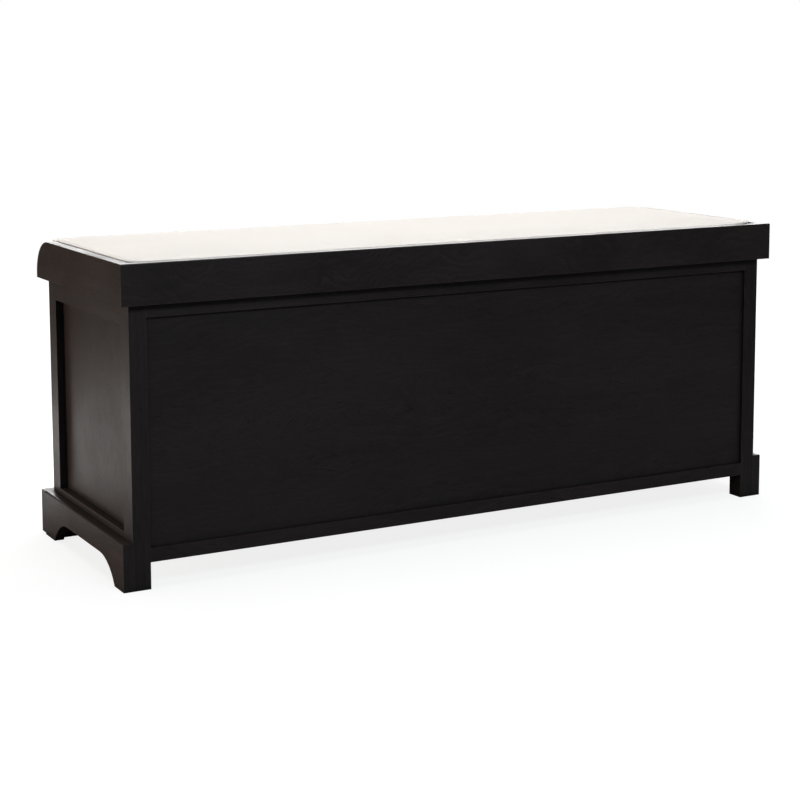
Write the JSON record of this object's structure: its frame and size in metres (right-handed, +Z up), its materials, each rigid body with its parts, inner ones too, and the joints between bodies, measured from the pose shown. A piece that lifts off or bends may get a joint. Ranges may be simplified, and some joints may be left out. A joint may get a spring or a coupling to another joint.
{
  "type": "storage bench",
  "caption": "Low storage bench with a framed dark wood case on bracket feet, deep drawers along the front and a pale seat cushion lying in a raised tray.",
  "frame": {"origin": "on the floor under the middle of the bench", "axes": "+X along the length to the right-hand end seen from the front, -Y out of the drawer fronts, +Z up"},
  "size_m": [1.2, 0.4026, 0.496],
  "materials": {
    "espresso_lacquer": "dark espresso stain under satin lacquer",
    "drawer_birch": "clear-sealed birch board",
    "birch_ply": "clear-sealed birch plywood",
    "beech": "plain waxed beech",
    "seat_cloth": "off-white plain-weave cotton",
    "aged_bronze": "dark aged bronze",
    "zinc_steel": "zinc plated"
  },
  "bodies": {
    "case": {"tray_back_board": "espresso_lacquer", "seat_board": "espresso_lacquer", "seat_nosing": "espresso_lacquer", "back_panel": "espresso_lacquer", "back_top_rail": "espresso_lacquer", "back_bottom_rail": "espresso_lacquer", "front_top_rail": "espresso_lacquer", "front_bottom_rail": "espresso_lacquer", "plinth_front": "espresso_lacquer", "tray_end_left": "espresso_lacquer", "side_panel_left": "espresso_lacquer", "post_back_left": "espresso_lacquer", "post_front_left": "espresso_lacquer", "side_top_rail_left": "espresso_lacquer", "side_bottom_rail_left": "espresso_lacquer", "divider_left": "espresso_lacquer", "plinth_side_left": "espresso_lacquer", "side_guide_left": "beech", "tray_end_right": "espresso_lacquer", "side_panel_right": "espresso_lacquer", "post_back_right": "espresso_lacquer", "post_front_right": "espresso_lacquer", "side_top_rail_right": "espresso_lacquer", "side_bottom_rail_right": "espresso_lacquer", "divider_right": "espresso_lacquer", "plinth_side_right": "espresso_lacquer", "side_guide_right": "beech", "seat_cushion": "seat_cloth", "rail_dowels": "beech", "seat_screws": "zinc_steel", "case_bottom": "birch_ply", "bottom_cleat": "beech", "drawer_stops": "beech", "runner_left_left": "beech", "runner_left_right": "beech", "runner_middle_left": "beech", "runner_middle_right": "beech", "runner_right_left": "beech", "runner_right_right": "beech"},
    "drawer_left": {"drawer_left_front": "espresso_lacquer", "drawer_left_side_left": "drawer_birch", "drawer_left_side_right": "drawer_birch", "drawer_left_back": "drawer_birch", "drawer_left_bottom": "birch_ply", "drawer_left_knob": "aged_bronze", "drawer_left_knob_screw": "zinc_steel"},
    "drawer_middle": {"drawer_middle_front": "espresso_lacquer", "drawer_middle_side_left": "drawer_birch", "drawer_middle_side_right": "drawer_birch", "drawer_middle_back": "drawer_birch", "drawer_middle_bottom": "birch_ply", "drawer_middle_knob": "aged_bronze", "drawer_middle_knob_screw": "zinc_steel"},
    "drawer_right": {"drawer_right_front": "espresso_lacquer", "drawer_right_side_left": "drawer_birch", "drawer_right_side_right": "drawer_birch", "drawer_right_back": "drawer_birch", "drawer_right_bottom": "birch_ply", "drawer_right_knob": "aged_bronze", "drawer_right_knob_screw": "zinc_steel"}
  },
  "joints": [
    {"name": "drawer_left_slide", "type": "slide", "parent": "case", "child": "drawer_left", "axis": [0, -1, 0], "range_m": [0, 0.25]},
    {"name": "drawer_middle_slide", "type": "slide", "parent": "case", "child": "drawer_middle", "axis": [0, -1, 0], "range_m": [0, 0.25]},
    {"name": "drawer_right_slide", "type": "slide", "parent": "case", "child": "drawer_right", "axis": [0, -1, 0], "range_m": [0, 0.25]}
  ]
}
